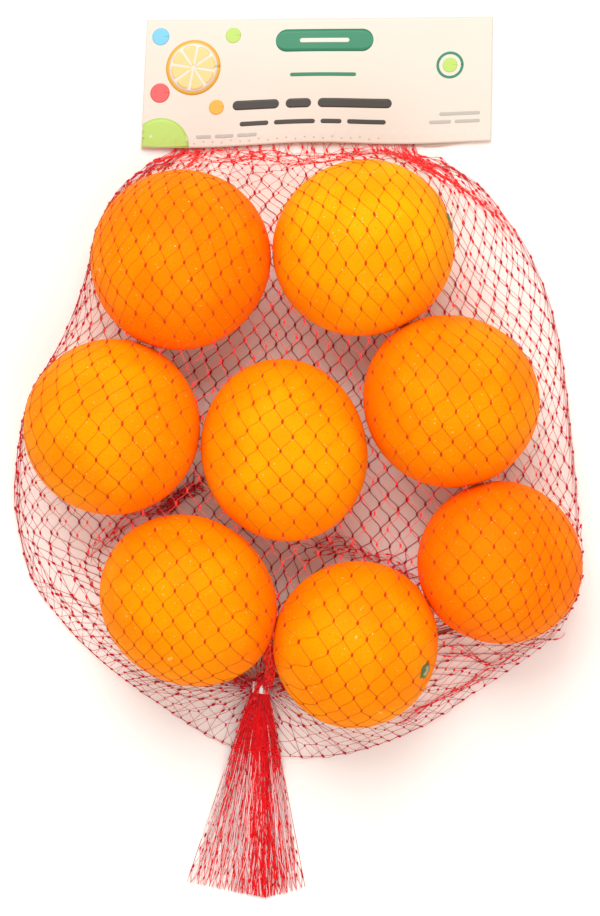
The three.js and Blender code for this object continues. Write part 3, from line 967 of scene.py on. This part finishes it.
def bundle(name, line, count, spread, tones, seed, high=None, thick=1.1, flare=(0.9, 0.9), tied=5):
    """Threads that run side by side along a line in plan, given in mm: each swings across it by two
    sines of its own, as far as spread and by flare farther towards the line's ends, where the threads
    begin and stop at various places. They lie on the tent, or at the height given, up to spread
    higher, and each has so many knots tied in it."""
    rng = np.random.default_rng(seed)
    middle = curve_through(np.array(line) * MM, BUNCH_STATIONS)
    ahead = unit(np.gradient(middle, axis=0))
    across = np.column_stack([-ahead[:, 1], ahead[:, 0]])
    beat, phase = rng.uniform(0.6, 2.6, (count, 2, 1)), rng.uniform(0, 2 * np.pi, (count, 2, 1))
    first, last = rng.uniform(0, 0.22, (count, 1)), rng.uniform(0.78, 1, (count, 1))
    way = first + (last - first) * np.linspace(0, 1, BUNCH_STATIONS)
    wide = 0.35 + flare[0] * (1 - way) ** 4 + flare[1] * way ** 4
    swing = np.sin(2 * np.pi * beat * way[:, None] + phase).sum(1) * wide
    stations = np.arange(BUNCH_STATIONS)
    at = way * stations[-1]
    plan = np.stack([np.interp(at, stations, part) for part in middle.T], -1)
    aside = np.stack([np.interp(at, stations, part) for part in across.T], -1)
    plan = plan + aside * (swing * spread)[..., None]
    tent_top = np.maximum(height_at(plan[..., 0], plan[..., 1]), UPPER_LAYER)
    base = tent_top if high is None else high(plan)
    lifted = base + spread * rng.uniform(0, 0.8, (count, 1)) * np.sin(np.pi * way) ** 0.5
    lines = into_label(np.dstack([plan, lifted]))
    width = THREAD * thick * rng.uniform(0.85, 1.2, count)
    pieces = [threads(name, lines, width, tones, seed)]
    if tied:
        thread = np.arange(count).repeat(tied)
        place = rng.integers(3, BUNCH_STATIONS - 4, count * tied)
        leans = unit(np.gradient(lines, axis=1)[thread, place])
        sizes = rng.uniform(0.8, 1.15, len(thread))
        # Their knots take the hanging tone throughout, the bright painted light
        pieces.append(tied_knots(f"{name}_knots", lines[thread, place], leans, KNOT_LENGTH * sizes,
                                 KNOT_WIDTH * 0.8 * sizes, LIT_AND_SHADED_KNOT_TONES[[2, 2, 2]], seed))
    return pieces


def rising(plan):
    """Height of the low creases: on the lower layer, and up to the gather near it."""
    return 1.0 * MM + GATHER[2] * gathered(plan) ** 0.5


def falling(plan):
    """Height of the upper layer's bunch, which slants down to the gather from between two oranges."""
    return GATHER[2] + 1.5 * MM + 0.9 * off_gather(plan[..., 0], plan[..., 1])


def over_clip(plan):
    """Height of the strands that run over the clip: 11.4 mm there, and 8 mm before and behind it."""
    off = np.abs(plan[..., 1] - GATHER[1])
    return GATHER[2] + 3.4 * MM * np.exp(-((off / (5.5 * MM)) ** 4))


# Middle lines of the bunches that follow no crease, in mm
NECK_LINE = [(-50, 137.5), (-30, 134.5), (-8, 133.3), (14, 134.2), (34, 136.2), (48, 138)]
ROPE_LINE = [(-14.5, -82), (-13.8, -89), (-13.2, -96), (-14.2, -101), (-17.5, -105)]
OVER_CLIP = [(-17.0, -97), (-18.6, -102), (-19.6, -107), (-21.5, -113)]
GAP_LINE = [(-66, -26), (-57, -20.5), (-50, -16), (-42, -10.5)]
RIGHT_HEM = [(42, -120), (54, -115.5), (66, -108), (77, -102.5), (88, -95.5), (97, -91)]
NEAR_HEM = [(60, -83), (70, -88), (80, -91), (92, -91), (104, -86), (116, -75)]
# Each bunch: its name, middle line, number of threads, spread in mm, tones and seed, then its height,
# thickness, flare at both ends and knots to a thread
BUNCHES = [
    ("right_shoulder", SHOULDER[0][:5], 10, 0.9, TAIL_TONE, 41, None, 1.0, (2.2, 0.4), 4),
    ("right_edge_bunch", SHOULDER[0][2:], 3, 0.8, TAIL_TONE, 53, None, 0.9, (0.9, 0.9), 3),
    ("left_shoulder", LEFT_SHOULDER[0], 6, 0.9, TAIL_TONE, 42, None, 1.1, (1.6, 1.6), 5),
    ("neck_folds", NECK_LINE, 12, 5.5, TAIL_TONE, 52, None, 0.8, (0.3, 0.3), 6),
    ("gather_rope", ROPE_LINE, 56, 2.7, TAIL_TONE, 43, falling, 1.2, (0.3, 0.3), 3),
    ("over_clip", OVER_CLIP, 26, 1.5, TAIL_TONE, 51, over_clip, 1.1, (0.6, 0.6), 2),
    # The creases, the gap folds and the near hem take the flat tone, painted shade, some of it made
    # lighter; the gap folds' dark threads paint the shade in the gap between the fruit as well as its
    # bunched net
    ("left_crease", LEFT_CREASE[0], 6, 3.8, SHADED_CRIMSON * 1.9, 44, rising, 0.9, (0.5, 0.6), 5),
    ("gap_folds", GAP_LINE, 15, 3.2, SHADED_CRIMSON, 54, rising, 0.9, (0.8, 0.8), 4),
    ("right_crease", RIGHT_CREASE[0], 10, 4.6, SHADED_CRIMSON * 1.7, 45, rising, 0.9, (0.8, 0.6), 5),
    ("right_hem", RIGHT_HEM, 4, 1.3, TAIL_TONE * 0.9, 46, rising, 1.1, (0.9, 0.9), 5),
    ("near_hem", NEAR_HEM, 5, 3.0, SHADED_CRIMSON * 1.3, 47, rising, 0.9, (0.9, 0.9), 5),
]
bag_parts = layer_pieces("upper_mesh", upper_knots, True, 5)
bag_parts += layer_pieces("lower_mesh", lower_knots, False, 6, thick=0.95, taut=-1, stout=0.8)
for name, line, count, spread, tones, seed, high, thick, flare, tied in BUNCHES:
    bag_parts += bundle(name, line, count, spread * MM, tones, seed, high, thick, flare, tied)
# The edge threads take the flat tone, painted shade
for number, edge in enumerate((left_edge, low_edge, right_edge)):
    line = bunched(bunched(edge[::16], SHOULDER), LEFT_SHOULDER) / MM
    name, seed = f"edge_{number + 1}", 48 + number
    bag_parts += bundle(name, line, 1, 0.3 * MM, SHADED_CRIMSON, seed, thick=0.75, tied=0)
for piece in bag_parts:
    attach(piece, "root")
    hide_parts("net")

# ---------------------------------------------------------------- tail of the mesh bag
# Past the clip the same tube of mesh fans out again, flat and drawn long, to its cut end.
# It lies over the skirt of the bag and then on the table, with a dense pleat down its right half.
TAIL_START = np.array([(-21.5, -105.5), (-14.0, -107.5)]) * MM
TAIL_END = np.array([(-50.7, -191.8), (2.5, -194.3)]) * MM
TAIL_POINT = 5.5 * MM
TAIL_LOWEST = 0.66
TAIL_ROWS = 13
PLEAT = 0.59
PLEAT_WIDE = 0.1
PLEAT_SHARE = 0.80
OVER_SKIRT = 4.2 * MM
SKIRT_EDGE = -138 * MM
TAIL_STATIONS = 26
# The tail's top in y and its length, and the levels in y at which loose threads cross it, in mm
TAIL_TOP = -105 * MM
TAIL_LONG = 88 * MM
LOOSE_LEVELS = (-137, -110)
LOOSE_LIFT = 2.2 * MM
# Pale pink of threads that stand for whitish light glinting on glossy plastic: a painted highlight
HIGHLIGHT_PINK = np.array([(1.0, 0.70, 0.68)] * 3)


def on_tail(place, down):
    """Places on the tail, for shares across and down it: straight lines from the gather to the end
    edge, which comes to a blunt point. It lies over the skirt and then, past a smooth step, on the
    table."""
    start = TAIL_START[0] + (TAIL_START[1] - TAIL_START[0]) * place[..., None]
    end = TAIL_END[0] + (TAIL_END[1] - TAIL_END[0]) * place[..., None]
    end[..., 1] -= TAIL_POINT * np.minimum(place / TAIL_LOWEST, (1 - place) / (1 - TAIL_LOWEST)) ** 0.85
    plan = start + (end - start) * down[..., None]
    on_skirt = 1 / (1 + np.exp((SKIRT_EDGE - plan[..., 1]) / (5 * MM)))
    high = (GATHER[2] - OVER_SKIRT) * np.exp(-down * 9) + OVER_SKIRT * on_skirt + 0.35 * MM
    return np.concatenate([plan, high[..., None]], -1)


def tail_layer(lift, sway, seed):
    """Knots of one layer. Columns crowd at the pleat by a sine, its rows sway by a sine down the tail,
    and each knot is shifted at random."""
    rng = np.random.default_rng(seed)
    even = np.linspace(0, 1, COLUMNS + 1)
    crowd = (np.sin(2 * np.pi * (even - PLEAT)) + np.sin(2 * np.pi * PLEAT)) / (2 * np.pi)
    place = 0.008 + 0.984 * (even - PLEAT_SHARE * crowd) + 0 * np.arange(TAIL_ROWS + 1)[:, None]
    down = np.linspace(0, 1, TAIL_ROWS + 1)[:, None] ** 0.92
    down = down + sway * (place - 0.5) * np.sin(np.pi * down)
    knots = on_tail(place, down)
    fade = np.sin(np.pi * down * 0.98)[..., None]
    inner = np.clip(np.minimum(place, 1 - place) / 0.06, 0, 1)[..., None]
    shift = rng.normal(size=knots[..., :2].shape) * (0.75 * MM, 1.5 * MM)
    knots[..., :2] += shift * np.abs(fade) ** 0.35 * inner
    knots[..., 0] += 1.8 * MM * np.sin(2 * np.pi * down + 0.6) * (place - 0.5)
    off_pleat = (place - PLEAT) / PLEAT_WIDE
    pleat = np.exp(-(off_pleat ** 2)) * np.sin(np.pi * np.clip(down, 0, 1)) ** 0.5
    knots[..., 2] += lift * (1 + 1.2 * pleat)
    return knots


# Each layer of the tail: its name, knots and seed, its threads' and its knots' tones, thick and slim.
# The lower layer's threads are in the pale pink of painted highlight
TAIL_LAYERS = [
    ("tail_lower", tail_layer(0.0, 0.10, 21), 7, HIGHLIGHT_PINK, TAIL_TONE * 0.42, 1.6, 0.7),
    ("tail_upper", tail_layer(0.9 * MM, -0.12, 22), 8, TAIL_TONE, TAIL_TONE * 0.76, 0.85, 0.72),
]
tail_parts = []
for name, knots, seed, tones, knot_tones, thick, slim in TAIL_LAYERS:
    tail_parts += layer_pieces(name, knots, False, seed, tones, knot_tones, thick, slim=slim)


def long_threads(name, count, tones, seed, starts, stops, in_pleat, pleat_at, pleat_wide):
    """Stray threads down the tail, between its layers: each keeps near its own share of the width,
    which swings by two sines, a part of them near one share, in the pleat. They start and stop anywhere
    in the two ranges of shares down the tail, cut off at its ends."""
    rng = np.random.default_rng(seed)
    first, last = rng.uniform(*starts, (count, 1)), rng.uniform(*stops, (count, 1))
    first, last = np.clip(first, 0, 1), np.clip(last, 0, 1)
    down = first + (last - first) * np.linspace(0, 1, TAIL_STATIONS)
    pleat = rng.normal(pleat_at, pleat_wide, (count, 1))
    own = np.where(rng.random((count, 1)) < in_pleat, pleat, rng.uniform(0, 1, (count, 1)))
    beat, phase = rng.uniform(0.8, 3.5, (count, 2, 1)), rng.uniform(0, 2 * np.pi, (count, 2, 1))
    sines = np.sin(2 * np.pi * beat * down[:, None] + phase).sum(1)
    swing = sines * rng.uniform(0.004, 0.022, (count, 1))
    line = on_tail(np.clip(own + swing, 0, 1), down)
    line[..., 2] += rng.uniform(0.1, 1.3, (count, 1)) * MM
    return threads(name, line, THREAD * rng.uniform(0.9, 1.5, count), tones, seed)


def loose_threads(count, seed):
    """Slack threads that cross the top of the tail: arcs from its left to its right edge."""
    rng = np.random.default_rng(seed)
    level = rng.uniform(*LOOSE_LEVELS, (count, 2)) * MM
    reach = (TAIL_TOP - level) / TAIL_LONG
    left, right = (TAIL_START[:, 0] + (TAIL_END - TAIL_START)[:, 0] * reach).T
    high = np.full(count, OVER_SKIRT + LOOSE_LIFT)
    start = np.column_stack([left, level[:, 0], high])
    end = np.column_stack([right, level[:, 1], high])
    droop = rng.uniform(-0.028, 0.028, (count, 2))
    pull, push = (np.column_stack([right - left, part, np.zeros(count)]) for part in droop.T)
    lines = hermite(start, end, pull, push, 14)
    return threads("loose_threads", lines, np.full(count, THREAD * 1.2), TAIL_TONE, seed)


# Each group of stray threads: its name, number, tones and seed, the ranges in which the threads start
# and stop, the part of them in the pleat, and that part's middle and spread
NEAR_PLEAT = (PLEAT - 0.03, 0.075)
STRAYS = [
    ("long_threads", 64, TAIL_TONE, 33, (-0.1, 0.45), (0.65, 1.35), 0.4, *NEAR_PLEAT),
    # Pale pink threads: painted highlight
    ("pale_threads", 170, HIGHLIGHT_PINK, 34, (0.15, 0.5), (0.65, 1.35), 0.4, *NEAR_PLEAT),
    ("top_threads", 180, TAIL_TONE, 35, (-0.3, 0.06), (0.2, 0.5), 0.4, *NEAR_PLEAT),
    ("pleat_threads", 70, TAIL_TONE, 37, (-0.1, 0.3), (0.4, 0.85), 1.0, *NEAR_PLEAT),
    ("low_threads", 90, TAIL_TONE, 38, (0.25, 0.6), (0.85, 1.35), 1.0, 0.67, 0.13),
]
tail_parts += [long_threads(*stray) for stray in STRAYS]
tail_sides = on_tail(np.array([[0.0], [1.0]]) + np.zeros(TAIL_STATIONS),
                     np.zeros((2, 1)) + np.linspace(0, 1, TAIL_STATIONS))
# The tail's sides take the flat tone, painted shade
tail_parts.append(threads("tail_sides", tail_sides, np.full(2, THREAD), SHADED_CRIMSON, 36))
tail_parts.append(loose_threads(30, 31))
for piece in tail_parts:
    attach(piece, "root")
    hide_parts("net")

# ---------------------------------------------------------------- header label
# A strip of cream film-coated paper, folded over the mesh's open end and welded through it.
# Both flaps hang down in soft waves, and the knots of the net stand out through the lower edge.

# Left and right corners at the fold and at the lower edge
LABEL_TOP = np.array([(-68.7, 196.3), (87.1, 198.0)]) * MM
LABEL_LOW = np.array([(-71.4, 138.9), (86.2, 141.9)]) * MM
PAPER = 0.22 * MM
FLAP_GAP = 1.5 * MM
LABEL_BASE = 0.15 * MM
WELD_KNOTS = 23
# Points along the strip and down a flap, and round the fold
STRIP_POINTS = 300
FLAP_POINTS = 60
FOLD_POINTS = 9


def label_plan(u, v):
    """Places on the strip: u from left to right, v from the lower edge to the fold, with wavy edges."""
    low = LABEL_LOW[0] + (LABEL_LOW[1] - LABEL_LOW[0]) * u[..., None]
    top = LABEL_TOP[0] + (LABEL_TOP[1] - LABEL_TOP[0]) * u[..., None]
    place = low + (top - low) * v[..., None]
    held = np.sin(np.pi * np.clip(u, 0, 1)) ** 0.5
    place[..., 1] += 0.9 * MM * np.sin(2 * np.pi * (1.5 * u + 0.55)) * (1 - v) * held
    return place


def label_wave(u, v):
    """Soft waves of the whole strip: two sines across and one down."""
    across = 0.42 * np.sin(2 * np.pi * (2.3 * u + 0.1)) + 0.25 * np.sin(2 * np.pi * (4.1 * u + 0.35 * v))
    return MM * (0.62 + across * (1 - 0.45 * v) + 0.16 * np.cos(2.4 * np.pi * v + 3 * u))


def label_front(u, v):
    """Height of the front flap's outer face: the wave, plus the gap that closes towards the fold, plus
    the knots of the net under its lower edge."""
    gap = FLAP_GAP * (1 - v ** 3) * (0.45 + 0.55 * np.sin(np.pi * np.clip(u, 0, 1)) ** 0.6)
    row = np.exp(-(((v - 0.075) / 0.02) ** 2))
    knots = 0.16 * MM * row * np.cos(np.pi * (u - 0.13) * WELD_KNOTS * 1.25) ** 8
    return LABEL_BASE + label_wave(u, v) * (1 - 0.5 * v) + gap + knots + 2 * PAPER


def strip_faces(rows, count):
    """Faces of a closed slab of two grids: one seen from above, one from below, and the rim."""
    top, bottom = grid_faces(rows, count), grid_faces(rows, count, rows * count)[:, ::-1]
    index = np.arange(rows * count).reshape(rows, count)
    rim = np.concatenate([index[0, :-1], index[:-1, -1], index[-1, :0:-1], index[:0:-1, 0]])
    after = np.roll(rim, -1)
    walls = np.stack([rim, rim + rows * count, after + rows * count, after], -1)
    return np.concatenate([top, bottom, walls])


def closed_slab(name, over, under, paint):
    """A closed piece between two grids of points (rows, count, 3)."""
    piece = mesh_piece(name, np.stack([over, under]), strip_faces(*over.shape[:2]), paint)
    outward(piece)
    return piece


def slab(name, plan, high, thick, paint):
    """A closed slab over places in plan, from high - thick to high."""
    return closed_slab(name, np.dstack([plan, high]), np.dstack([plan, high - thick]), paint)


paper_paint = painted("cream_paper", (0.67, 0.60, 0.515), 0.42, Specular_IOR_Level=0.2)
mottle = noise(paper_paint, 26, 3)
coat(paper_paint, blend(paper_paint, mottle, (0.655, 0.588, 0.495), (0.685, 0.612, 0.530)))
press(paper_paint, noise(paper_paint, 140, 4), 0.3, 0.25 * MM)

u_grid, v_grid = np.meshgrid(np.linspace(0, 1, STRIP_POINTS), np.linspace(0, 1, FLAP_POINTS))
front_high = label_front(u_grid, v_grid)
rear_high = LABEL_BASE + label_wave(u_grid, v_grid) * (1 - 0.5 * v_grid) * 0.8 + PAPER
front_flap = slab("label_front", label_plan(u_grid, v_grid), front_high, PAPER, paper_paint)
# The rear flap shows below the front one near the right corner: by a bell along the strip
rear_plan = label_plan(u_grid, v_grid)
rear_plan[..., 1] -= 1.3 * MM * (1 - v_grid) * np.exp(-(((u_grid - 0.84) / 0.07) ** 2))
rear_flap = slab("label_rear", rear_plan, rear_high, PAPER, paper_paint)
fold_angle = np.linspace(-np.pi / 2, np.pi / 2, FOLD_POINTS)[:, None]
fold_u = np.linspace(0, 1, STRIP_POINTS)[None] + 0 * fold_angle
fold_plan = label_plan(fold_u, np.ones_like(fold_u))
fold_low, fold_top = rear_high[-1] - PAPER, front_high[-1]


def fold_skin(inset, back):
    """One face of the fold: a half oval on end, inset from the outer one, and back from it in y."""
    reach = (fold_top - fold_low) / 2 - inset
    y = fold_plan[..., 1] + reach * np.cos(fold_angle) * 0.9 - back
    return np.dstack([fold_plan[..., 0], y, (fold_top + fold_low) / 2 + reach * np.sin(fold_angle)])


fold = closed_slab("label_fold", fold_skin(0, 0), fold_skin(PAPER, 0.05 * MM), paper_paint)
for piece in (front_flap, rear_flap, fold):
    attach(piece, "root")
    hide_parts("header_label")

# ---------------------------------------------------------------- print on the header label
# Plain printed shapes in the label's colours: a cut citrus, round dots, a green pill and bars
# in the place of words. Each is a skin of ink 0.03 mm thick that follows the paper's waves.
INK = 0.03 * MM
label_width = LABEL_LOW[1, 0] - LABEL_LOW[0, 0]
label_tall = LABEL_TOP[0, 1] - LABEL_LOW[0, 1]
INKS = {
    "lime": (0.40, 0.57, 0.10), "sky": (0.15, 0.47, 0.66), "coral": (0.66, 0.085, 0.08),
    "amber": (0.70, 0.36, 0.035), "pale_amber": (0.73, 0.52, 0.20), "green": (0.010, 0.185, 0.085),
    "taupe": (0.034, 0.026, 0.018), "grey": (0.42, 0.39, 0.34), "cream": (0.68, 0.61, 0.525),
    "show_through": (0.58, 0.33, 0.26),
}
ink_paints = {name: painted(f"ink_{name}", colour, 0.45) for name, colour in INKS.items()}


def printed(name, ink, x, y, lift=1):
    """A skin of ink over places x, y (grids, mm from the label's lower left corner), lift times as
    thick as one skin, so that it stands over those below it."""
    u = np.clip(np.asarray(x) * MM / label_width, 0.002, 0.998)
    v = np.clip(np.asarray(y) * MM / label_tall, 0.004, 0.996)
    piece = slab(name, label_plan(u, v), label_front(u, v) + INK * lift, INK * lift, ink_paints[ink])
    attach(piece, "root")
    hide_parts("header_label")


def disc(name, ink, x, y, radius, lift=1, part=1.0, hole=0.0, sides=48):
    """A round patch, a ring, or a part of one: rings of radius times cos and sin of the angle."""
    angle = np.linspace(0, part, sides)[None] * 2 * np.pi
    out = np.linspace(hole, 1, 8)[:, None]
    printed(name, ink, x + radius * out * np.cos(angle), y + radius * out * np.sin(angle), lift)


def bar(name, ink, left, right, y, tall, lift=1):
    """A bar with round ends: its half height falls to 0 at both ends as a circle's does."""
    along_bar = np.linspace(0, 1, 60)
    along_bar = left + (right - left) * (1 - np.cos(np.pi * along_bar)) / 2
    inset = np.clip(np.minimum(along_bar - left, right - along_bar) / (tall / 2), 0, 1)
    half = tall / 2 * np.sqrt(np.maximum(1 - (1 - inset) ** 2, 1e-4))
    up = np.linspace(-1, 1, 7)[:, None]
    printed(name, ink, along_bar + 0 * up, y + half * up, lift)


def wedge(name, ink, x, y, radius, turn_at, share, lift):
    """A segment of the cut fruit: a slice of a disc whose corners are rounded by a power."""
    t = np.linspace(-1, 1, 24)[None]
    out = np.linspace(0.10, 1, 10)[:, None]
    half_angle = np.pi * share * (1 - 0.55 * (1 - out) ** 2)
    angle = turn_at + half_angle * t * np.minimum(1, 1.12 - 0.16 * out ** 8)
    reach = radius * out * (1 - 0.05 * np.abs(t) ** 4 * out)
    printed(name, ink, x + reach * np.cos(angle), y + reach * np.sin(angle), lift)


CUT_FRUIT = (22.0, 36.0)
SEGMENTS = 8
# Dots: colour, place and radius. Bars: left and right end, place in y and height
DOTS = [
    ("sky", 6.6, 50.0, 3.9), ("coral", 7.4, 24.6, 4.4),
    ("lime", 39.6, 50.2, 3.5), ("amber", 33.2, 18.0, 3.4),
]
BARS = {
    ("title", "taupe"): [
        (40.5, 61.5, 18.4, 4.3), (64.5, 76.0, 18.4, 4.3), (79.0, 112.5, 18.4, 4.3),
    ],
    ("under_title", "taupe"): [
        (44.0, 57.0, 9.9, 2.1), (59.5, 78.0, 9.9, 2.1), (80.5, 90.0, 9.9, 2.1), (92.5, 110.0, 9.9, 2.1),
    ],
    ("small", "grey"): [
        (24.5, 31.5, 4.9, 1.6), (33.0, 41.5, 4.9, 1.6), (43.0, 52.0, 4.9, 1.6),
    ],
    ("right", "grey"): [
        (134.0, 152.5, 13.2, 1.6), (129.5, 139.5, 9.6, 1.6), (141.0, 152.5, 9.6, 1.6),
    ],
}
BADGE = (138.5, 35.5)
# The row of knots: the first one's x, the step to the next, and their middle y and its swing
KNOT_ROW = (15.5, 4.15, 2.4, 0.5)
disc("print_half_fruit", "lime", 8.5, 0.4, 13.0, part=0.5)
disc("print_rind", "amber", *CUT_FRUIT, 12.4)
disc("print_pith", "cream", *CUT_FRUIT, 10.9, lift=2)
for index in range(SEGMENTS):
    heading = 2 * np.pi / SEGMENTS * (index + 0.3)
    wedge(f"print_segment_{index + 1}", "pale_amber", *CUT_FRUIT, 10.0, heading, 0.105, 3)
for ink, x, y, radius in DOTS:
    disc(f"print_dot_{ink}", ink, x, y, radius)
bar("print_panel", "green", 59.0, 103.5, 47.4, 10.4)
bar("print_panel_line", "cream", 70.0, 92.5, 47.4, 2.0, lift=2)
bar("print_rule", "green", 66.0, 96.0, 31.6, 1.7)
for (name, ink), row in BARS.items():
    for index, place in enumerate(row):
        bar(f"print_{name}_{index + 1}", ink, *place)
disc("print_badge", "green", *BADGE, 6.2, hole=0.80)
disc("print_badge_middle", "lime", *BADGE, 3.4)
for index in range(WELD_KNOTS):
    x, y = KNOT_ROW[0] + index * KNOT_ROW[1], KNOT_ROW[2] + KNOT_ROW[3] * np.sin(2.3 * index)
    disc(f"print_knot_{index + 1}", "show_through", x, y, 0.42, sides=14)

# ---------------------------------------------------------------- clip
# A short crimped band of bright metal, closed by a machine round the gathered net.
# It keeps its shape from the frame, with brushed metal as its finish.
clip_paint = painted("clip_metal", (0.78, 0.77, 0.76), 0.3, Metallic=0.85)
press(clip_paint, noise(clip_paint, 700, 2), 0.3, 0.1 * MM)
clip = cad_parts["clip"]
clip.data.materials.clear()
clip.data.materials.append(clip_paint)
